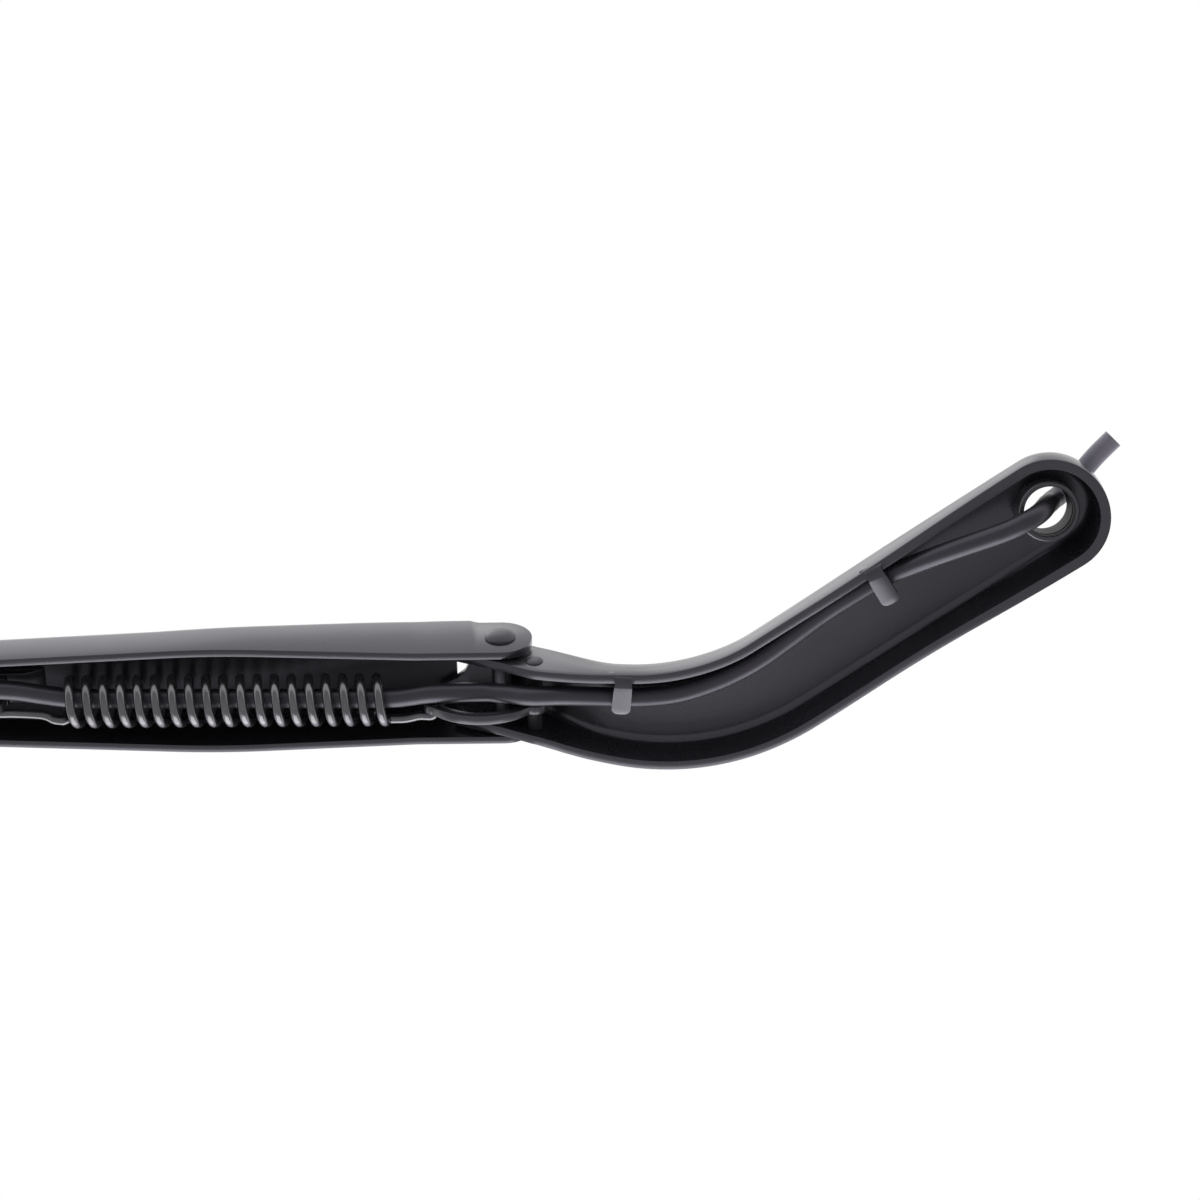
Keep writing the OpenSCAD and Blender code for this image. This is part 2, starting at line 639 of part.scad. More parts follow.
// Washer hose: its two stretches meet face to face over the hinge, 0.2 mm apart
hose_head_route = [
    [-135.4, 50.2, -1.6], [-130.9, 49.85, -3.1], [-126.4, 49.4, -4.8], [-119.4, 49.4, -4.7],
    [-109.4, 50.4, -3.7], [-103.4, 50.8, -3.5], [-97.4, 50.8, -3.4], [-90.4, 50.1, -3.2],
    [-83.4, 47.9, -3.2], [-76.4, 44.7, -3.2], [-69.4, 40.4, -3.2], [-62.9, 35.2, -3.2],
    [-53.4, 27.2, -3.2], [-43.9, 20.4, -3.2], [-38.1, 16.75, -3.1], [-33.4, 14.15, -4.2],
    [-25.7, 9.2, -7.1], [-14.8, 3.5, -9.8], [-10.9, 1.6, -10.4], [-7.6, -0.2, -10.6],
    [-5.2, -1.5, -10.2], [-3.4, -2.2, -9.2], [-2, -2.55, -7.7], [-1.1, -2.4, -5.8],
    [0.2, -1.7, -2.4], [1.3, -0.8, 0.4], [2.3, -0.2, 3], [3.6, -0.1, 5.2], [5.8, -2, 7.6],
    [8.8, -5.5, 9.6], [12.6, -9.8, 11], [16.8, -14, 12]];
hose_arm_route = [
    [-135.59, 50.21, -1.54], [-138.24, 50.42, -0.65], [-141.4, 50.3, -0.8], [-147.4, 50.1, -1.3],
    [-153.4, 50.3, -1.3], [-158.9, 51.4, -0.8], [-163.4, 52, -0.4], [-174.4, 52.4, 0.3],
    [-199.4, 52.4, 0.9], [-224.4, 52.4, 1.3], [-243.4, 52.2, 1.6], [-251.4, 51, 1.4],
    [-257.4, 49.6, 0.9], [-262.9, 48.95, 0.7], [-268.4, 48.95, 0.7], [-280.4, 50, 0.9],
    [-299.4, 51.6, 1.6],
    [-329.4, 52.7, 2.4], [-359.4, 52.8, 2.9], [-384.4, 52.8, 3.1], [-409.4, 52.8, 3.1],
    [-434.4, 52.8, 3.1], [-447.4, 52.8, 3.1]];
module washer_hose_head() {
    color([0.1, 0.1, 0.11]) tube(hose_head_route, hose_r, 10);
}
module washer_hose_arm() {
    color([0.1, 0.1, 0.11]) tube(hose_arm_route, hose_r, 10);
}

// Plastic clips that hold the hose under the bar
clip_wall = 1.6;
clip_fit = 0.1;
hose_fit = 0.15;
clip_len = 8;
hose_level = 3.1;
// Places of the clips and the nozzle along the bar, from the channel's outer end
clip_lead = 20.024;
clip_step = 30;
nozzle_step = 20;
clip_x = hinge_x - channel_len - clip_lead;
module bar_sleeve(len) {
    rotate([90, 0, 90]) linear_extrude(height = len, center = true) difference() {
        translate([-bar_width/2 - clip_wall, bar_bottom - clip_wall])
            square([bar_width + 2*clip_wall, bar_thick + 2*clip_wall]);
        translate([-bar_width/2 - clip_fit, bar_bottom - clip_fit])
            square([bar_width + 2*clip_fit, bar_thick + 2*clip_fit]);
    }
}
module hose_clip(x) {
    color([0.11, 0.11, 0.12]) translate([x, hinge_y, 0]) {
        bar_sleeve(clip_len);
        rotate([90, 0, 90]) linear_extrude(height = clip_len, center = true) difference() {
            union() {
                translate([0, hose_level]) circle(hose_r + hose_fit + clip_wall, $fn = 48);
                translate([-3, hose_level]) square([6, bar_bottom - clip_wall - hose_level + 0.2]);
            }
            translate([0, hose_level]) circle(hose_r + hose_fit, $fn = 48);
            translate([-1.8, hose_level - 6]) square([3.6, 6]);
        }
    }
}

// Spray nozzle on the bar, at the hose's end
nozzle_x = clip_x - clip_step - nozzle_step;
nozzle_len = 14;
module spray_nozzle() {
    color([0.11, 0.11, 0.12]) translate([nozzle_x, hinge_y, 0]) difference() {
        union() {
            bar_sleeve(nozzle_len);
            translate([-nozzle_len/2, -bar_width/2 - clip_wall, hose_level - 3.6])
                cube([nozzle_len, bar_width + 2*clip_wall, bar_bottom - clip_wall - hose_level + 3.8]);
            translate([nozzle_len/2, 0, hose_level])
                rotate([0, 90, 0]) cylinder(h = 5, r = hose_r + hose_fit + 1.1, $fn = 48);
        }
        translate([nozzle_len/2, 0, hose_level])
            rotate([0, 90, 0]) cylinder(h = 6, r = hose_r + hose_fit, $fn = 48);
        for (x = [-3.5, 2])
            translate([x, bar_width/2 + clip_wall + 0.01, hose_level - 1])
                rotate([90, 0, 0]) cylinder(h = 2, r = 0.7, $fn = 24);
    }
}

head_channel();
spindle_bush();
hinge_bush(-1);  // hinge_bush_upper
hinge_bush(1);  // hinge_bush_lower
hinge_rivet();
link_pin();
pull_link();
tension_spring();
arm_channel();
flat_bar();
bar_rivet(rivet_inner_at, bar_bottom - foot_thick);  // bar_rivet_inner
bar_rivet(rivet_outer_at, bar_bottom);  // bar_rivet_outer
spring_anchor();
washer_hose_head();
washer_hose_arm();
hose_clip(clip_x);  // hose_clip_inner
hose_clip(clip_x - clip_step);  // hose_clip_outer
spray_nozzle();
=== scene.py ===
import json
import math

import bmesh
import bpy
import numpy as np
from mathutils import Matrix, Vector


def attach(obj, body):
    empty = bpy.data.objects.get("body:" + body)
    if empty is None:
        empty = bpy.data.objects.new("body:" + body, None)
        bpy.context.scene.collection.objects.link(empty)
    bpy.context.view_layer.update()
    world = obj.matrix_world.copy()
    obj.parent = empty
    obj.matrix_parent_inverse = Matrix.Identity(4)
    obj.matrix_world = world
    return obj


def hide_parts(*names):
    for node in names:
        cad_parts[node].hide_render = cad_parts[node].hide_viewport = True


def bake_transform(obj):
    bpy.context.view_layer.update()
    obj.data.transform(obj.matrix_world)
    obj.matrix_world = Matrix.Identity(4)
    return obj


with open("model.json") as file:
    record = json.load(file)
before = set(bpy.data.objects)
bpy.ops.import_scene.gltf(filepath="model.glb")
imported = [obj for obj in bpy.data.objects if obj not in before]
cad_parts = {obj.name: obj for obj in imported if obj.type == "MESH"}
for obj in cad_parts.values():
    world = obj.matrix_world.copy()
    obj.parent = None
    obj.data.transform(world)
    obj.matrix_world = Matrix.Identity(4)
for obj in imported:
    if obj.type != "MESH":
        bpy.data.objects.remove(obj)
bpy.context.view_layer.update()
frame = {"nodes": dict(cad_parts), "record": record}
scene = bpy.context.scene
MM = 0.001

# Camera: it looks up at the arm's underside, 28 degrees off its plane's normal
TILT = math.radians(28.0)
ROLL = math.radians(-0.64)
AIM = Vector((-109.4, 24.6, 0.0))
DIST = 650.0
LENS = 78.0
SENSOR = 36.0


def place_camera():
    ahead = Vector((0, math.sin(TILT), math.cos(TILT)))
    down = Vector((0, math.cos(TILT), -math.sin(TILT)))
    right = Vector((1, 0, 0))
    cam_x = math.cos(ROLL) * right - math.sin(ROLL) * down
    cam_y = -math.sin(ROLL) * right - math.cos(ROLL) * down
    at = (AIM - DIST * ahead) * MM
    data = bpy.data.cameras.new("camera")
    data.sensor_width = SENSOR
    data.lens = LENS
    data.clip_start = 0.01
    data.clip_end = 50.0
    cam = bpy.data.objects.new("camera", data)
    scene.collection.objects.link(cam)
    columns = (cam_x, cam_y, -ahead, at)
    rows = [[c[i] for c in columns] for i in range(3)]
    cam.matrix_world = Matrix(rows + [[0, 0, 0, 1]])
    scene.camera = cam
    scene.view_settings.view_transform = "Standard"


# Node helpers
def new_material(name):
    m = bpy.data.materials.new(name)
    m.use_nodes = True
    nt = m.node_tree
    nt.nodes.clear()
    out = nt.nodes.new("ShaderNodeOutputMaterial")
    shader = nt.nodes.new("ShaderNodeBsdfPrincipled")
    nt.links.new(shader.outputs["BSDF"], out.inputs["Surface"])
    return m, nt, shader


def noise(nt, scale, detail=4.0, rough=0.55, stretch=None):
    coord = nt.nodes.new("ShaderNodeTexCoord")
    mapping = nt.nodes.new("ShaderNodeMapping")
    if stretch:
        mapping.inputs["Scale"].default_value = stretch
    tex = nt.nodes.new("ShaderNodeTexNoise")
    tex.inputs["Scale"].default_value = scale
    tex.inputs["Detail"].default_value = detail
    tex.inputs["Roughness"].default_value = rough
    nt.links.new(coord.outputs["Object"], mapping.inputs["Vector"])
    nt.links.new(mapping.outputs["Vector"], tex.inputs["Vector"])
    return tex.outputs["Fac"]


def ramp(nt, fac, stops):
    r = nt.nodes.new("ShaderNodeValToRGB")
    e = r.color_ramp.elements
    while len(e) > 1:
        e.remove(e[-1])
    for i, (pos, col) in enumerate(stops):
        el = e[0] if i == 0 else e.new(pos)
        el.position = pos
        el.color = (*col, 1)
    nt.links.new(fac, r.inputs["Fac"])
    return r.outputs["Color"]


def bump(nt, shader, height, strength, distance):
    b = nt.nodes.new("ShaderNodeBump")
    b.inputs["Strength"].default_value = strength
    b.inputs["Distance"].default_value = distance
    nt.links.new(height, b.inputs["Height"])
    nt.links.new(b.outputs["Normal"], shader.inputs["Normal"])


def grey(v):
    return (v, v, v)


def scaled(base, k):
    return tuple(c * k for c in base)


# Pointiness of a flat face and of a sharp edge; a faint violet tint of the gloss
FLAT_ENOUGH = 0.53
SHARP_EDGE = 0.60
GLOSS_TINT = (0.88, 0.84, 1.0, 1)


def edge_wear_and_highlight(nt, colour, light, amount):
    """A lighter tone along sharp edges: partly paint thinned there, partly a painted highlight of the edge
    lines.
    """
    geo = nt.nodes.new("ShaderNodeNewGeometry")
    mask = ramp(nt, geo.outputs["Pointiness"], [(FLAT_ENOUGH, grey(0)), (SHARP_EDGE, grey(amount))])
    mix = nt.nodes.new("ShaderNodeMix")
    mix.data_type = "RGBA"
    nt.links.new(mask, mix.inputs["Factor"])
    nt.links.new(colour, mix.inputs["A"])
    mix.inputs["B"].default_value = (*light, 1)
    return mix.outputs["Result"]


def paint(name, base, rough, grain=2600.0, strength=0.10, wear_and_highlight=0.12, gloss=0.9, coat=0.5, metal=0.0):
    """Satin black paint: fine orange peel, cloudy gloss and lighter edges, partly thin paint and partly
    painted highlight.
    """
    m, nt, s = new_material(name)
    cloud = noise(nt, 45.0, 5.0, 0.6)
    fine = noise(nt, grain, 3.0, 0.6)
    col = ramp(nt, cloud, [(0.30, scaled(base, 0.8)), (0.52, base), (0.75, scaled(base, 1.25))])
    # Sharp edges mixed towards a lighter tone: wear and painted highlight
    col = edge_wear_and_highlight(nt, col, scaled(base, 4.0), wear_and_highlight)
    nt.links.new(col, s.inputs["Base Color"])
    r = ramp(nt, cloud, [(0.3, grey(rough + 0.04)), (0.7, grey(rough - 0.04))])
    nt.links.new(r, s.inputs["Roughness"])
    s.inputs["Specular IOR Level"].default_value = gloss
    s.inputs["Specular Tint"].default_value = GLOSS_TINT
    s.inputs["Metallic"].default_value = metal
    s.inputs["Coat Weight"].default_value = coat
    s.inputs["Coat Roughness"].default_value = rough * 0.8
    bump(nt, s, fine, strength, 0.00012)
    return m


# Along X, in metres, the hose's colour is painted paler towards its free end, as painted light
LIGHT_END_FROM = 0.004
LIGHT_END_FULL = 0.013
LIGHT_END_GAIN = 11.0


def painted_light_end(nt, colour):
    """The hose's free end, beyond the head, is painted paler than the rest: painted light for the bright
    backdrop that it catches.
    """
    coord = nt.nodes.new("ShaderNodeTexCoord")
    split = nt.nodes.new("ShaderNodeSeparateXYZ")
    nt.links.new(coord.outputs["Object"], split.inputs["Vector"])
    gain = nt.nodes.new("ShaderNodeMapRange")
    gain.inputs["From Min"].default_value = LIGHT_END_FROM
    gain.inputs["From Max"].default_value = LIGHT_END_FULL
    gain.inputs["To Min"].default_value = 1.0
    gain.inputs["To Max"].default_value = LIGHT_END_GAIN
    nt.links.new(split.outputs["X"], gain.inputs["Value"])
    scale = nt.nodes.new("ShaderNodeVectorMath")
    scale.operation = "SCALE"
    nt.links.new(colour, scale.inputs[0])
    nt.links.new(gain.outputs["Result"], scale.inputs["Scale"])
    return scale.outputs["Vector"]


def rubber(name, base, rough):
    """Smooth hose rubber with faint lengthwise draw marks."""
    m, nt, s = new_material(name)
    cloud = noise(nt, 90.0, 4.0, 0.6)
    fine = noise(nt, 1500.0, 3.0, 0.5, stretch=(0.12, 1.0, 1.0))
    col = ramp(nt, cloud, [(0.3, scaled(base, 0.85)), (0.7, scaled(base, 1.2))])
    # Painted light: the base colour grows paler towards the hose's free end
    nt.links.new(painted_light_end(nt, col), s.inputs["Base Color"])
    r = ramp(nt, cloud, [(0.3, grey(rough + 0.04)), (0.7, grey(rough - 0.04))])
    nt.links.new(r, s.inputs["Roughness"])
    s.inputs["Specular IOR Level"].default_value = 0.95
    s.inputs["Specular Tint"].default_value = GLOSS_TINT
    bump(nt, s, fine, 0.08, 0.0001)
    return m


def plastic(name, base, rough):
    """Moulded plastic with a fine spark-eroded grain."""
    m, nt, s = new_material(name)
    grain = noise(nt, 3200.0, 2.0, 0.7)
    cloud = noise(nt, 60.0, 4.0, 0.5)
    col = ramp(nt, cloud, [(0.35, scaled(base, 0.9)), (0.65, scaled(base, 1.12))])
    nt.links.new(col, s.inputs["Base Color"])
    r = ramp(nt, grain, [(0.3, grey(rough + 0.06)), (0.7, grey(rough - 0.04))])
    nt.links.new(r, s.inputs["Roughness"])
    bump(nt, s, grain, 0.25, 0.00008)
    return m


M_PAINT = paint("paint_black", (0.0205, 0.0192, 0.0240), 0.27)
M_CAST = paint("paint_bush", (0.024, 0.023, 0.026), 0.32, grain=1500.0, strength=0.2)
# Painted shade: a darker, duller paint for the arm channel's deep inside faces
M_INSIDE_SHADE = paint("painted_shade_inside", (0.012, 0.0113, 0.0138), 0.32, gloss=0.7, coat=0.2)
# Painted shade: a darker, duller paint for the bush's bore faces
M_BORE_SHADE = paint("painted_shade_bore", (0.014, 0.014, 0.015), 0.5,
               grain=1500.0, strength=0.2, wear_and_highlight=0.0, gloss=0.3, coat=0)
M_STEEL = paint("coated_steel", (0.03, 0.029, 0.032), 0.30, grain=1800.0, strength=0.08)
M_SPRING = paint("spring_wire", (0.19, 0.185, 0.195), 0.22,
                 grain=2200.0, strength=0.06, wear_and_highlight=0.1, coat=0, metal=0.85)
# Painted shade: a darker, duller tone for the cross pin's shank
M_PIN_SHADE = paint("painted_shade_pin", (0.018, 0.018, 0.019), 0.5, grain=1800.0, wear_and_highlight=0.1, gloss=0.4, coat=0)
M_RIVET = paint("rivet_paint", (0.018, 0.0168, 0.0208), 0.34,
                grain=1800.0, wear_and_highlight=0.2, gloss=0.75, coat=0.2)
M_POLY = plastic("bearing_polymer", (0.03, 0.03, 0.03), 0.5)
M_PLASTIC = plastic("moulded_plastic", (0.022, 0.022, 0.024), 0.45)
M_HOSE = rubber("hose_rubber", (0.022, 0.0207, 0.0255), 0.40)

SLOT_MATERIAL = {
    "black_paint": M_PAINT, "black_casting": M_CAST, "dark_polymer": M_POLY,
    "dark_steel": M_STEEL, "spring_steel": M_SPRING, "hose_rubber": M_HOSE,
    "black_plastic": M_PLASTIC}


# Mesh helpers; the points are in millimetres in the row frame
WELD_GAP = 1e-6
SHARP_ANGLE = 35.0
MODEL_SMOOTH = 40.0
CAD_SMOOTH = 32.0
CAD_BEVEL = 0.25
NEAR_AXIS = 0.001


def soften(obj, width):
    """Rounds the sharp edges of a mesh by a bevel of this width."""
    weld = obj.modifiers.new("weld", "WELD")
    weld.merge_threshold = WELD_GAP
    bevel = obj.modifiers.new("bevel", "BEVEL")
    bevel.width = width * MM
    bevel.segments = 2
    bevel.limit_method = "ANGLE"
    bevel.angle_limit = math.radians(SHARP_ANGLE)
    bevel.harden_normals = False


def smooth_faces(mesh, angle):
    mesh.polygons.foreach_set("use_smooth", [True] * len(mesh.polygons))
    mesh.set_sharp_from_angle(angle=math.radians(angle))


def mesh_object(name, points, faces):
    mesh = bpy.data.meshes.new(name)
    mesh.from_pydata([tuple(c * MM for c in p) for p in points], [], faces)
    bm = bmesh.new()
    bm.from_mesh(mesh)
    bmesh.ops.remove_doubles(bm, verts=bm.verts, dist=WELD_GAP)
    bmesh.ops.recalc_face_normals(bm, faces=bm.faces)
    bm.to_mesh(mesh)
    bm.free()
    obj = bpy.data.objects.new(name, mesh)
    scene.collection.objects.link(obj)
    return obj


def loft(name, rings, closed_start=True, closed_end=True):
    """Rings of equally many points, each a closed loop."""
    n = len(rings[0])
    points = [p for ring in rings for p in ring]
    faces = []
    for i in range(len(rings) - 1):
        for j in range(n):
            k = (j + 1) % n
            faces.append((i * n + j, i * n + k, (i + 1) * n + k, (i + 1) * n + j))
    if closed_start:
        faces.append(tuple(range(n)))
    if closed_end:
        faces.append(tuple((len(rings) - 1) * n + j for j in range(n)))
    return mesh_object(name, points, faces)


def prism(name, outline, place, depth):
    """A flat outline swept: place(u, v, d) puts its point at depth 0 and depth."""
    rings = [[place(u, v, d) for u, v in outline] for d in (0.0, depth)]
    return loft(name, rings)


def applied(obj):
    """Bakes an object's modifiers into its mesh."""
    bpy.context.view_layer.update()
    graph = bpy.context.evaluated_depsgraph_get()
    mesh = bpy.data.meshes.new_from_object(obj.evaluated_get(graph))
    old = obj.data
    obj.modifiers.clear()
    obj.data = mesh
    mesh.name = obj.name
    bpy.data.meshes.remove(old)
    return obj


def combine(obj, other, operation):
    mod = obj.modifiers.new("bool", "BOOLEAN")
    mod.operation = operation
    mod.solver = "EXACT"
    mod.object = other
    applied(obj)
    bpy.data.objects.remove(other)
    return obj


def finish_piece(obj, material, bevel=0.0):
    if bevel:
        soften(obj, bevel)
        applied(obj)
    obj.data.materials.clear()
    obj.data.materials.append(material)
    smooth_faces(obj.data, MODEL_SMOOTH)
    return obj


def second_material(obj, material, chosen):
    """Gives a second material to the faces that chosen(centre, normal) picks."""
    obj.data.materials.append(material)
    for face in obj.data.polygons:
        if chosen(face.center / MM, face.normal):
            face.material_index = 1


def circle_ring(centre, u, v, radius, sides):
    return [centre + radius * (math.cos(t) * u + math.sin(t) * v)
            for t in np.linspace(0, 2 * math.pi, sides, endpoint=False)]


def lathe(name, profile, origin, axis, sides=96):
    """A profile of (radius, height) pairs turned about an axis; a radius of 0 closes it."""
    a = Vector(axis).normalized()
    u = a.orthogonal().normalized()
    v = a.cross(u)
    rings = [circle_ring(Vector(origin) + h * a, u, v, max(r, NEAR_AXIS), sides) for r, h in profile]
    return loft(name, rings)


def tube(name, path, radius, sides, ends):
    """A tube along a path; ends holds extra (radius, along) rings at its two ends."""
    points = [Vector(p) for p in path]
    last = len(points) - 1
    dirs = [(points[min(i + 1, last)] - points[max(i - 1, 0)]).normalized() for i in range(last + 1)]
    up = Vector((0, 0, 1))
    frames = []
    for p, d in zip(points, dirs):
        up = (up - up.dot(d) * d).normalized()
        frames.append((p, d, up.copy(), d.cross(up)))
    p, d, u, v = frames[0]
    rings = [circle_ring(p + along * d, u, v, r, sides) for r, along in ends[0]]
    rings += [circle_ring(p, u, v, radius, sides) for p, d, u, v in frames]
    p, d, u, v = frames[-1]
    rings += [circle_ring(p + along * d, u, v, r, sides) for r, along in ends[1]]
    return loft(name, rings)


def curve(points, steps):
    """A smooth curve through a list of points."""
    p = [np.array(q, float) for q in points]
    out = []
    for i in range(len(p) - 1):
        a = p[max(i - 1, 0)]
        b = p[i]
        c = p[i + 1]
        d = p[min(i + 2, len(p) - 1)]
        for k in range(steps):
            t = k / steps
            out.append(0.5 * (2 * b + (c - a) * t + (2 * a - 5 * b + 4 * c - d) * t * t
                              + (3 * b - a - 3 * c + d) * t ** 3))
    out.append(p[-1])
    return out


def smooth(t):
    u = min(max(t, 0.0), 1.0)
    return u * u * (3 - 2 * u)


# Spine of the head in plan, as in the part's source
HEAD_SHEET = 2.4
HEAD_BEND_R = 3.4
HEAD_INNER_R = 2.2
HEAD_HALF = 14.3
END_RADIUS = 14.0
HEAD_RUN = 79.5
BEND_ANGLE = 42.0
BEND_RADIUS = 54.0
LEAD_RUN = 33.5
HEAD_TOP = 2.7
HEAD_DEPTH = 10.2
RIM_ROLL = 14.0
WEB_ROLL = 5.0
KNUCKLE_RUN = 6.0
LEAD_TURN = 6.5
LEAD_TURN_LEN = 14.0
KNUCKLE_HALF = 10.75
BEND_LEN = BEND_RADIUS * math.radians(BEND_ANGLE)
HEAD_LEN = LEAD_RUN + BEND_LEN + HEAD_RUN
END_CENTRE = np.array([0.6, -0.8])
FAR_BACK = 1e3
STRAIGHT_ENOUGH = 1e-5


def part_of(s, start, length):
    return min(max(s - start, 0.0), length)


def heading(s):
    first = LEAD_TURN * part_of(s, KNUCKLE_RUN, LEAD_TURN_LEN) / LEAD_TURN_LEN
    return first - BEND_ANGLE * part_of(s, LEAD_RUN, BEND_LEN) / BEND_LEN


def arc_move(length, h0, h1):
    a = math.radians(h0)
    b = math.radians(h1)
    if abs(b - a) < STRAIGHT_ENOUGH:
        return length * np.array([math.cos(a), math.sin(a)])
    return length / (b - a) * np.array([math.sin(b) - math.sin(a), math.cos(a) - math.cos(b)])


def spine_raw(s):
    straight = LEAD_RUN - KNUCKLE_RUN - LEAD_TURN_LEN
    runs = [(-FAR_BACK, FAR_BACK + KNUCKLE_RUN), (KNUCKLE_RUN, LEAD_TURN_LEN),
            (KNUCKLE_RUN + LEAD_TURN_LEN, straight), (LEAD_RUN, BEND_LEN),
            (LEAD_RUN + BEND_LEN, HEAD_RUN)]
    place = np.array([-FAR_BACK, 0.0])
    for start, length in runs:
        done = part_of(s, start, length)
        if done > 0:
            place = place + arc_move(done, heading(start), heading(start + done))
    return place


def spine(s):
    return spine_raw(s) - spine_raw(HEAD_LEN) + END_CENTRE


# The hinge's place and the sections of head and arm
HX, HY = spine(0)
HINGE_Z = 7.9
EAR_GAP = 0.65
ARM_SHEET = 2.0
ARM_BEND_R = 2.6
ARM_HALF = KNUCKLE_HALF + EAR_GAP + ARM_SHEET
DEPTH_HINGE = 19.1
NOSE_START = -12.0
NOSE_TOP = DEPTH_HINGE - ARM_SHEET - 0.3
RIM_LEVEL = HEAD_TOP - HEAD_DEPTH
RIM_STATIONS = [NOSE_START, -6, 0, 4, 8, 12, 17, 23]
RIM_HEIGHTS = [5, 2.2, -0.4, -2.6, -4.7, -6, RIM_LEVEL + 0.4, RIM_LEVEL]
BEND_STEPS = 8
BEND_FROM = math.radians(12)
BEND_SPREAD = 1.0
LEAN = 0.9
BEND_LEAN = 0.8
BULGE = 0.3
WALL_STEPS = (0, 0.12, 0.25, 0.4, 0.55, 0.7, 0.85)

# Where along the spine the section opens out, rounds off, leans in and steps down
FLARE_FROM = 9
FLARE_LEN = 53
FLARE_POWER = 1.1
END_LEN = 60
SHARE_FROM = 10
SHARE_RISE = 22
SHARE_TO = 72
SHARE_FALL = 50
STEP_FROM = -7
STEP_LEN = 37


def flare(s):
    """How far the section has opened out from the knuckle to the straight run."""
    return math.sin(math.pi / 2 * (part_of(s, FLARE_FROM, FLARE_LEN) / FLARE_LEN) ** FLARE_POWER)


def end_share(s):
    """How near a place is to the round end."""
    return smooth((s - HEAD_LEN + END_LEN) / END_LEN)


def bend_share(s):
    """How far a place lies within the dog-leg bend."""
    return smooth((s - SHARE_FROM) / SHARE_RISE) * (1 - smooth((s - SHARE_TO) / SHARE_FALL))


def half_at(s):
    opened = KNUCKLE_HALF + (HEAD_HALF - KNUCKLE_HALF) * flare(s)
    return opened - (HEAD_HALF - END_RADIUS) * end_share(s)


def rim_at(s):
    return float(np.interp(s, RIM_STATIONS, RIM_HEIGHTS))


def top_at(s):
    return HEAD_TOP + (NOSE_TOP - HEAD_TOP) * (1 - smooth((s - STEP_FROM) / STEP_LEN))


def head_point(s, phi, side, inset, level, roll):
    """A point of the head's skin, inset from its outline, on a face rolled at the round end."""
    h = math.radians(heading(s))
    reach = half_at(s) - inset
    if side > 0:
        reach += BEND_SPREAD * bend_share(s)
    a = math.radians(phi)
    along = reach * math.cos(a)
    across = side * reach * math.sin(a)
    ahead = np.array([math.cos(h), math.sin(h)])
    aside = np.array([-math.sin(h), math.cos(h)])
    p = spine(s) + along * ahead + across * aside
    return (p[0], p[1], level - math.tan(math.radians(roll)) * end_share(s) * across)


def lean(s, f):
    """The wall bulges: upright at its rim, at f = 0, and leaning in at the back's bend, at 1."""
    return (LEAN + BEND_LEAN * bend_share(s)) * (f * f - BULGE * f)


def head_side(s, phi, side, inset, r):
    """One skin's half section, from the rim up the wall and round the bend of radius r."""
    points = []
    middle = top_at(s) - inset - r
    for f in WALL_STEPS:
        at = inset + lean(s, f)
        low = head_point(s, phi, side, at, rim_at(s), RIM_ROLL)
        high = head_point(s, phi, side, at, middle + r * math.sin(BEND_FROM), WEB_ROLL)
        points.append((low[0], low[1], low[2] * (1 - f) + high[2] * f))
    centre = lean(s, 1) + inset + r * math.cos(BEND_FROM)
    for b in np.linspace(BEND_FROM, math.pi / 2, BEND_STEPS + 1):
        at = centre - r * math.cos(b)
        points.append(head_point(s, phi, side, at, middle + r * math.sin(b), WEB_ROLL))
    return points


def section_loop(outer_left, outer_right, inner_left, inner_right):
    outer = outer_left + outer_right[::-1]
    inner = inner_left + inner_right[::-1]
    return outer + inner[::-1]


def sheet_loft(name, loops, open_tip=False):
    """A bent sheet from closed section loops, with its cut ends filled."""
    n = len(loops[0])
    obj_faces = []
    for i in range(len(loops) - 1):
        for j in range(n):
            k = (j + 1) % n
            obj_faces.append((i * n + j, i * n + k, (i + 1) * n + k, (i + 1) * n + j))
    ends = [0] if open_tip else [0, len(loops) - 1]
    for e in ends:
        for j in range(n // 2 - 1):
            obj_faces.append((e * n + j, e * n + j + 1, e * n + n - 2 - j, e * n + n - 1 - j))
    return mesh_object(name, [p for loop in loops for p in loop], obj_faces)


def head_loop(s, phi):
    return section_loop(
        head_side(s, phi, -1, 0, HEAD_BEND_R), head_side(s, phi, 1, 0, HEAD_BEND_R),
        head_side(s, phi, -1, HEAD_SHEET, HEAD_INNER_R), head_side(s, phi, 1, HEAD_SHEET, HEAD_INNER_R))


def arm_place(s, w, z):
    return (HX + s, HY + w, z)


BORE_TILT = math.radians(16.0)
BORE_AXIS = Vector((0, math.sin(BORE_TILT), math.cos(BORE_TILT)))
BUSH_R = 7.4
BUSH_PRESS = 0.2
NOSE_EDGE = [(-7.4, -8.4), (-8.7, -2), (-9.8, 0.5), (-12.1, 2.3), (-16.5, 4.5)]
NOSE_CUT_LOW = 11.5
NOSE_CUT_DEPTH = 10


def nose_tongue():
    root = NOSE_START + 0.2
    outline = [NOSE_EDGE[3], NOSE_EDGE[4], (-16.5, 6), (-15, 7.4), (root, 7.4), (root, 2.2)]
    low = NOSE_TOP - HEAD_SHEET
    return prism("nose", outline, lambda u, v, d: arm_place(u, v, low + d), HEAD_SHEET)


def nose_cut():
    outer = KNUCKLE_HALF + 1
    outline = NOSE_EDGE + [(-20, 4.5), (-20, -outer), (-7.4, -outer)]
    return prism("nose_cut", outline, lambda u, v, d: arm_place(u, v, NOSE_CUT_LOW + d), NOSE_CUT_DEPTH)


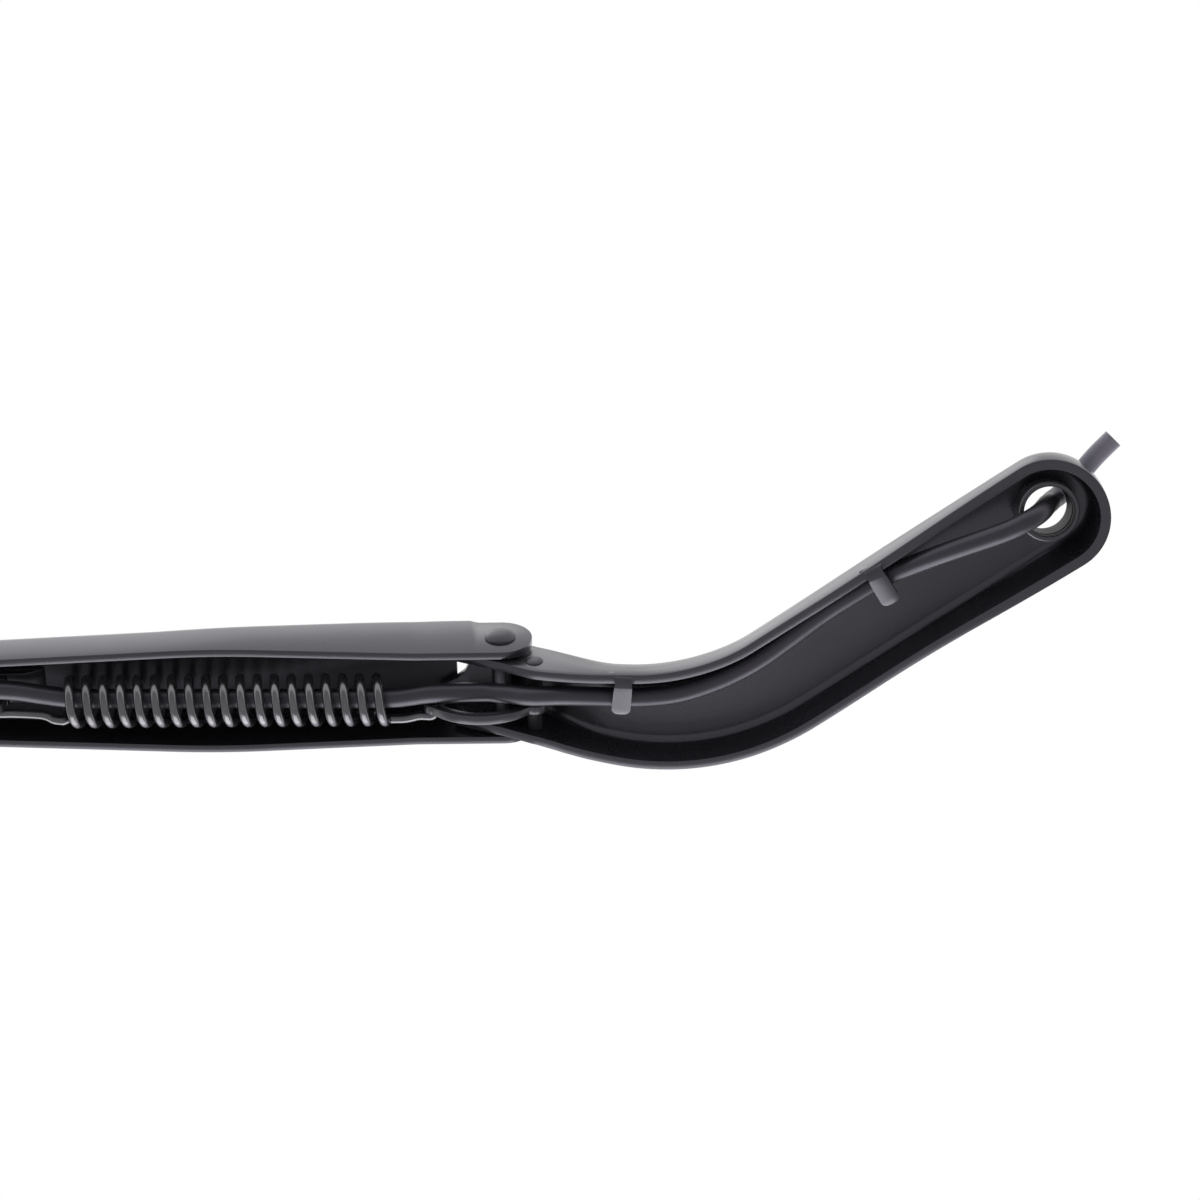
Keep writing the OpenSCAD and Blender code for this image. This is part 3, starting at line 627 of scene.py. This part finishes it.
# A hose clip: a strip of the wall's sheet turned in over the hose
TAB_HALF = 2.35
TAB_ROOT = 2.1
TAB_FILLET = 1.3
TAB_SHEET = 2.0
TAB_R = 2.8
TAB_DROP = 2.2
TAB_BELOW = 1.6
TAB_TURN = math.radians(98)
TAB_BEND = TAB_TURN * TAB_R
TAB_FREE = TAB_DROP + 0.9
TAB_WIDEN = 5
TAB_TIP = (0.12, 0.25, 0.4, 0.55, 0.68, 0.79, 0.88, 0.94, 0.98, 1)
SINK = 0.1
SINK_SLOPE = 0.25


def tab_half_width(along, length):
    """Flared where it leaves the rim, slightly waisted, rounded at the tip."""
    left = length - along
    if along < TAB_FREE + TAB_FILLET:
        u = min(max((TAB_FREE + TAB_FILLET - along) / TAB_FILLET, 0), 1)
        return TAB_ROOT + TAB_FILLET * (1 - math.sqrt(1 - u * u))
    if left >= TAB_ROOT:
        return TAB_ROOT + (TAB_HALF - TAB_ROOT) * smooth((along - TAB_FREE - TAB_FILLET) / TAB_WIDEN)
    u = (TAB_ROOT - left) / TAB_ROOT
    return TAB_HALF * max(1 - abs(u) ** 3.2, 0.0) ** (1 / 2.2) + 0.02


def turned(x, y, angle):
    return (x * math.cos(angle) - y * math.sin(angle), x * math.sin(angle) + y * math.cos(angle))


def tab_section(along, length, wall, low):
    """The strip's four corners at a station, (x along the wall, y across, z)."""
    b = min(max((along - TAB_DROP) / TAB_R, 0), TAB_TURN)
    before = max(TAB_DROP - along, 0)
    after = max(along - TAB_DROP - TAB_BEND, 0)
    outer = TAB_R - SINK - SINK_SLOPE * before
    half = tab_half_width(along, length)
    corners = []
    for x, r in ((-half, outer), (half, outer), (half, TAB_R - TAB_SHEET), (-half, TAB_R - TAB_SHEET)):
        y = TAB_R - wall - r * math.cos(b) + after * math.sin(b)
        z = low + TAB_R - r * math.sin(b) + before - after * math.cos(b)
        corners.append((x, y, z))
    return corners


def hose_tab(name, s, turn, reach):
    """A clip at spine length s, turned in its plane, reaching over the hose."""
    wall = half_at(s)
    low = rim_at(s) + math.tan(math.radians(RIM_ROLL)) * end_share(s) * wall - TAB_BELOW
    bent = TAB_DROP + TAB_BEND
    length = bent + reach - TAB_R
    base = spine(s)
    stations = list(np.linspace(0, bent, 30))
    stations += list(np.linspace(bent, length - TAB_ROOT, 6))[1:]
    stations += [length - TAB_ROOT * (1 - u) for u in TAB_TIP]
    rings = []
    for along in stations:
        ring = []
        for x, y, z in tab_section(along, length, wall, low):
            px, py = turned(x, y + wall, math.radians(turn))
            px, py = turned(px, py - wall, math.radians(heading(s)))
            ring.append((base[0] + px, base[1] + py, z))
        rings.append(ring)
    return loft(name, rings)


HEAD_BEVEL = 0.3
# The two clips: place along the spine, turn in degrees and reach
HOSE_TABS = ((30.05, -1.5, 10.9), (HEAD_LEN - 43, 7, 11.4))


def head_piece():
    run = np.linspace(NOSE_START, HEAD_LEN, 118)
    loops = [head_loop(s, 90) for s in run]
    loops += [head_loop(HEAD_LEN, a) for a in np.linspace(90, 0, 31)[1:]]
    head = sheet_loft("spindle_head", loops, open_tip=True)
    combine(head, nose_tongue(), "UNION")
    combine(head, nose_cut(), "DIFFERENCE")
    seat = BUSH_R - BUSH_PRESS
    hole = lathe("hole", [(0, -15), (seat, -15), (seat, 15), (0, 15)], (0, 0, 0), BORE_AXIS)
    combine(head, hole, "DIFFERENCE")
    for s, turn, reach in HOSE_TABS:
        combine(head, hose_tab("tab", s, turn, reach), "UNION")
    finish_piece(head, M_PAINT, bevel=HEAD_BEVEL)
    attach(head, "head")
    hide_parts("head_channel")


# Arm channel
CHANNEL_LEN = 250.0
WIDE_AT = 73.0
WIDE_HALF = 15.2
CROWN = WIDE_HALF + 0.15
CROWN_HALF = 12.0
TAPER = 0.046
FLAT_TO = 22.0
LEAD_SLOPE = (CROWN - ARM_HALF) / (WIDE_AT - FLAT_TO)
DEPTH_SLIM = 12.7
BACK_END = 11.9
WALL_END = 11.1
WALL_STEP = 5.6
EAR_R = 8.1
ARM_BEVEL = 0.25

# The back swells towards the hinge, and the rim rises towards the outer end
SWELL_FROM = -92
SWELL_LEN = 82
RISE_FROM = 150
RISE = 6
# Height above the rim where the painted shade inside the channel begins
SHADE_FROM = 2.5


def arm_top(s):
    return DEPTH_SLIM + (DEPTH_HINGE - DEPTH_SLIM) * smooth((s - SWELL_FROM) / SWELL_LEN)


def arm_half_at(s):
    """Two straight tapers, which meet in a rounded crown at the widest place."""
    if s > -FLAT_TO:
        return ARM_HALF
    d = s + WIDE_AT
    sides = CROWN - (-d * TAPER if d < 0 else d * LEAD_SLOPE)
    return sides - (TAPER + LEAD_SLOPE) / (4 * CROWN_HALF) * max(CROWN_HALF - abs(d), 0) ** 2


def arm_rim(s):
    return RISE * smooth((-s - RISE_FROM) / (CHANNEL_LEN - RISE_FROM))


def arm_side(s, side, inset, r):
    """One skin's half section, from the rim up the wall and round the bend of radius r."""
    points = [arm_place(s, side * (arm_half_at(s) - inset), arm_rim(s))]
    for k in range(BEND_STEPS + 1):
        b = math.pi / 2 * k / BEND_STEPS
        points.append(arm_place(s, side * (arm_half_at(s) - ARM_BEND_R + r * math.cos(b)),
                                arm_top(s) - ARM_BEND_R + r * math.sin(b)))
    return points


def arm_loop(s):
    inner_r = ARM_BEND_R - ARM_SHEET
    return section_loop(
        arm_side(s, -1, 0, ARM_BEND_R), arm_side(s, 1, 0, ARM_BEND_R),
        arm_side(s, -1, ARM_SHEET, inner_r), arm_side(s, 1, ARM_SHEET, inner_r))


def ear_outline():
    """Side view of the arm's walls: straight to the ears, which are round."""
    top = HINGE_Z + EAR_R
    points = [(-CHANNEL_LEN - 1, -1), (-CHANNEL_LEN - 1, 24), (-WALL_END, 24)]
    for t in np.linspace(0, 1, 13):
        points.append((t * WALL_STEP - WALL_END, DEPTH_HINGE - (DEPTH_HINGE - top) * smooth(t)))
    for a in np.linspace(90, 0, 25):
        points.append((EAR_R * math.cos(math.radians(a)), HINGE_Z + EAR_R * math.sin(math.radians(a))))
    low = [(EAR_R, HINGE_Z), (EAR_R - 0.5, 5.1), (6.4, 2.9), (4.6, 1.2), (2.5, 0.25), (0.5, 0.0)]
    return points + [tuple(q) for q in curve(low, 5)[1:]] + [(0.5, -1)]


def inside_arm(c, n):
    """Deep in the channel, where a darker, duller paint stands for painted shade."""
    s = c.x - HX
    below = arm_top(s) - ARM_SHEET + 0.05
    within = arm_half_at(s) - ARM_SHEET + 0.05
    return arm_rim(s) + SHADE_FROM < c.z < below and abs(c.y - HY) < within


def arm_piece():
    arm = sheet_loft("arm_shell", [arm_loop(s) for s in np.linspace(-CHANNEL_LEN, 12, 132)])
    side = prism("side", ear_outline(), lambda u, v, d: arm_place(u, d - 30, v), 60)
    combine(arm, side, "INTERSECT")
    half = ARM_HALF - ARM_BEND_R
    clear = 8 - BACK_END
    box = [(-BACK_END, -half), (clear, -half), (clear, half), (-BACK_END, half)]
    low = DEPTH_HINGE - ARM_SHEET - 0.5
    cut = prism("back_cut", box, lambda u, v, d: arm_place(u, v, low + d), 5)
    combine(arm, cut, "DIFFERENCE")
    finish_piece(arm, M_PAINT, bevel=ARM_BEVEL)
    # The channel's deep inside faces get the darker paint: painted shade
    second_material(arm, M_INSIDE_SHADE, inside_arm)
    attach(arm, "arm")
    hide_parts("arm_channel")


# Spindle bush: a turned ring with grooves inside its mouth
def bush_piece():
    bottom = -7.2
    top = 3.0
    profile = [(6.35, bottom), (7.15, bottom), (7.4, bottom + 0.25), (7.4, top - 0.3), (7.1, top),
               (6.1, top), (5.9, top - 0.2), (5.95, top - 3.5), (6.02, bottom + 3.0), (6.5, bottom + 2.9),
               (6.5, bottom + 2.3), (6.1, bottom + 2.2), (6.15, bottom + 1.3), (6.55, bottom + 1.2),
               (6.55, bottom + 0.7), (6.15, bottom + 0.6), (6.15, bottom + 0.2), (6.35, bottom)]
    a = BORE_AXIS
    u = Vector((1, 0, 0))
    v = a.cross(u)
    rings = [circle_ring(h * a, u, v, r, 128) for r, h in profile]
    bush = loft("bush_ring", rings, closed_start=False, closed_end=False)
    finish_piece(bush, M_CAST)
    # The bore's inward faces get the darker paint: painted shade
    second_material(bush, M_BORE_SHADE, lambda c, n: -n.dot((c - c.dot(a) * a).normalized()) > 0.2)
    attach(bush, "head")
    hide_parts("spindle_bush")


# Hinge rivet and link pin with their upset heads
RIVET_R = 2.5
RIVET_HEAD = [(3.95, 0.0), (3.95, 0.4), (3.7, 0.75), (3.1, 1.0),
              (2.9, 1.12), (2.2, 1.35), (1.2, 1.48), (0.5, 1.5)]
PIN_R = 2.0
PIN_X = 8.7
PIN_Z = 0.3
PIN_HEAD = [(2.3, 0.0), (2.3, 0.15), (2.0, 0.4), (1.3, 0.53), (0.6, 0.55)]
HEAD_OVERLAP = 0.05


def pin_piece(name, node, body, x, z, radius, half, head, material):
    """A cross pin along Y; its heads follow the profile head, (radius, height) from the wall out."""
    low = [(r, -half - h) for r, h in reversed(head)]
    high = [(r, half + h) for r, h in head]
    shank = [(radius, -half), (radius, half)]
    profile = [(0, low[0][1])] + low + shank + high + [(0, high[-1][1])]
    pin = lathe(name, profile, (x, HY, z), (0, 1, 0))
    finish_piece(pin, material)
    second_material(pin, M_RIVET, lambda c, n: abs(c.y - HY) > half - HEAD_OVERLAP)
    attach(pin, body)
    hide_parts(node)


# Washer hose: one piece bent over the hinge
HOSE_R = 2.5
HOSE_ROUTE = [
    (18, -12.7, 12), (13.9, -8.6, 11), (10, -4.4, 9.4), (6.6, -1.4, 7.4), (3.9, -0.1, 5.2),
    (2.3, -0.2, 3), (1.3, -0.8, 0.4), (0.2, -1.7, -2.4), (-1.1, -2.4, -5.8), (-2, -2.55, -7.7),
    (-3.4, -2.2, -9.2), (-5.2, -1.5, -10.2), (-7.6, -0.2, -10.6), (-10.9, 1.6, -10.4),
    (-14.8, 3.5, -9.8), (-25.7, 9.2, -7.1), (-33.4, 14.15, -4.2), (-38.1, 16.75, -3.1),
    (-43.9, 20.4, -3.2), (-53.4, 27.2, -3.2), (-62.9, 35.2, -3.2), (-69.4, 40.4, -3.2),
    (-76.4, 44.7, -3.2), (-83.4, 47.9, -3.2), (-90.4, 50.1, -3.2), (-97.4, 50.8, -3.4), (-103.4, 50.8, -3.5),
    (-109.4, 50.4, -3.7), (-119.4, 49.4, -4.7), (-126.4, 49.4, -4.8), (-130.9, 49.85, -3.1),
    (-135.4, 50.2, -1.6), (-138.24, 50.42, -0.65), (-141.4, 50.3, -0.8), (-147.4, 50.1, -1.3),
    (-153.4, 50.3, -1.3), (-158.9, 51.4, -0.8), (-163.4, 52, -0.4), (-174.4, 52.4, 0.3),
    (-199.4, 52.4, 0.9), (-224.4, 52.4, 1.3), (-243.4, 52.2, 1.6), (-251.4, 51, 1.4),
    (-257.4, 49.6, 0.9), (-262.9, 48.95, 0.7), (-268.4, 48.95, 0.7), (-280.4, 50, 0.9),
    (-299.4, 51.6, 1.6), (-329.4, 52.7, 2.4), (-359.4, 52.8, 2.9), (-384.4, 52.8, 3.1),
    (-409.4, 52.8, 3.1), (-434.4, 52.8, 3.1), (-447.4, 52.8, 3.1)]


def hose_piece():
    mouth = [(0.02, 6.0), (1.35, 6.0), (1.35, 0.1), (1.5, 0.0), (2.25, 0.0)]
    hose = tube("washer_hose", curve(HOSE_ROUTE, 5), HOSE_R, 28, ends=(mouth, ()))
    finish_piece(hose, M_HOSE)
    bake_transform(hose)
    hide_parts("washer_hose_head", "washer_hose_arm")


# Tension spring: hook, coils and hook as one wire
WIRE_R = 1.225
COIL_R = 5.7
COIL_PITCH = 4.36
COIL_COUNT = 19
COIL_END = 29.2
COIL_W = 0.3
TURN_SIDES = 32
EYE_X = -17.0
EYE_Z = PIN_Z + 0.2
LINK_PLANE = 2.2
ANCHOR_X = -130.6
ANCHOR_Z = PIN_Z + 1.2
ANCHOR_PLANE = 1.0


def pull_z(s):
    return EYE_Z + (ANCHOR_Z - EYE_Z) * (s - EYE_X) / (ANCHOR_X - EYE_X)


def spring_path():
    """The wire's middle line: far hook, coils by a loop, and near hook."""
    start = -COIL_END - COIL_PITCH * COIL_COUNT
    side = COIL_W + COIL_R
    helix = []
    for i in range(TURN_SIDES * COIL_COUNT + 1):
        a = math.radians(90 + 360 * i / TURN_SIDES)
        s = start + COIL_PITCH * i / TURN_SIDES
        helix.append(arm_place(s, COIL_W + COIL_R * math.sin(a), pull_z(s) - COIL_R * math.cos(a)))
    near = curve([
        arm_place(-COIL_END, side, pull_z(-COIL_END)),
        arm_place(-24.6, side - 0.1, pull_z(-24.6)),
        arm_place(-21, side - 0.9, pull_z(-21)),
        arm_place(EYE_X - 0.8, LINK_PLANE + 2.9, EYE_Z),
        arm_place(EYE_X, LINK_PLANE + 1.4, EYE_Z),
        arm_place(EYE_X, LINK_PLANE - 1.7, EYE_Z)], 8)
    far = curve([
        arm_place(ANCHOR_X, ANCHOR_PLANE - 1.8, ANCHOR_Z),
        arm_place(ANCHOR_X, ANCHOR_PLANE + 1.1, ANCHOR_Z),
        arm_place(ANCHOR_X + 1.2, ANCHOR_PLANE + 2.6, ANCHOR_Z),
        arm_place(ANCHOR_X + 6, side - 2.3, ANCHOR_Z),
        arm_place(ANCHOR_X + 13, side - 1.8, pull_z(ANCHOR_X + 13)),
        arm_place(start - 2.6, side - 0.4, pull_z(start)),
        arm_place(start, side, pull_z(start))], 8)
    return far[:-1] + helix + near[1:]


def spring_piece():
    cap = [(0.02, 0.0), (0.9, 0.0)]
    spring = tube("pull_spring", spring_path(), WIRE_R, 14, ends=(cap, cap[::-1]))
    finish_piece(spring, M_SPRING)
    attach(spring, "spring")
    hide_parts("tension_spring")


place_camera()
head_piece()
arm_piece()
bush_piece()
pin_piece("hinge_pin", "hinge_rivet", "arm", HX, HINGE_Z, RIVET_R, ARM_HALF, RIVET_HEAD, M_PAINT)
# The cross pin's shank takes the darker tone: painted shade
pin_piece("cross_pin", "link_pin", "head", HX + PIN_X, PIN_Z, PIN_R, KNUCKLE_HALF, PIN_HEAD, M_PIN_SHADE)
hose_piece()
spring_piece()

# The CAD nodes that stay in view
slot_of = {s["node"]: s["material_slot"] for s in frame["record"]["subparts"]}
for name, obj in frame["nodes"].items():
    obj.data.materials.clear()
    obj.data.materials.append(SLOT_MATERIAL[slot_of[name]])
    smooth_faces(obj.data, CAD_SMOOTH)
    if not obj.hide_render:
        soften(obj, CAD_BEVEL)


# Light, floor and backdrop
def area(name, at, aim, size, power):
    d = bpy.data.lights.new(name, "AREA")
    d.shape = "RECTANGLE"
    d.size = size[0]
    d.size_y = size[1]
    d.energy = power
    o = bpy.data.objects.new(name, d)
    scene.collection.objects.link(o)
    o.location = at
    o.rotation_euler = (Vector(aim) - Vector(at)).to_track_quat("-Z", "Y").to_euler()


MIDDLE = (-0.16, 0.03, 0.0)
area("box_wide", (-0.55, -0.38, 1.09), MIDDLE, (0.8, 0.9), 1.5)
area("box_front", (-0.20, 1.19, -0.53), MIDDLE, (1.5, 1.16), 12.5)


def background(strength_soft, strength_seen):
    """White for the camera and for reflections, softer for the light that it sheds."""
    world = bpy.data.worlds.new("world")
    scene.world = world
    world.use_nodes = True
    wn = world.node_tree
    wn.nodes.clear()
    out = wn.nodes.new("ShaderNodeOutputWorld")
    mix = wn.nodes.new("ShaderNodeMixShader")
    shades = []
    for strength in (strength_soft, strength_seen):
        b = wn.nodes.new("ShaderNodeBackground")
        b.inputs["Color"].default_value = (1, 1, 1, 1)
        b.inputs["Strength"].default_value = strength
        shades.append(b)
    path = wn.nodes.new("ShaderNodeLightPath")
    either = wn.nodes.new("ShaderNodeMath")
    either.operation = "MAXIMUM"
    third = wn.nodes.new("ShaderNodeMath")
    third.operation = "MAXIMUM"
    wn.links.new(path.outputs["Is Camera Ray"], either.inputs[0])
    wn.links.new(path.outputs["Is Glossy Ray"], either.inputs[1])
    wn.links.new(either.outputs[0], third.inputs[0])
    wn.links.new(path.outputs["Is Transmission Ray"], third.inputs[1])
    wn.links.new(third.outputs[0], mix.inputs[0])
    wn.links.new(shades[0].outputs[0], mix.inputs[1])
    wn.links.new(shades[1].outputs[0], mix.inputs[2])
    wn.links.new(mix.outputs[0], out.inputs["Surface"])


background(0.40, 1.0)


def pale_floor(level):
    bm = bmesh.new()
    bmesh.ops.create_grid(bm, x_segments=8, y_segments=8, size=6.0)
    mesh = bpy.data.meshes.new("floor")
    bm.to_mesh(mesh)
    bm.free()
    floor = bpy.data.objects.new("floor", mesh)
    scene.collection.objects.link(floor)
    floor.location = (0, 0, level)
    m, nt, s = new_material("floor_pale")
    col = ramp(nt, noise(nt, 3.0, 2.0), [(0.3, grey(0.80)), (0.7, grey(0.83))])
    nt.links.new(col, s.inputs["Base Color"])
    s.inputs["Roughness"].default_value = 0.8
    mesh.materials.append(m)


pale_floor(-1.7)

# Bring the scene's transforms up to date
bpy.context.view_layer.update()
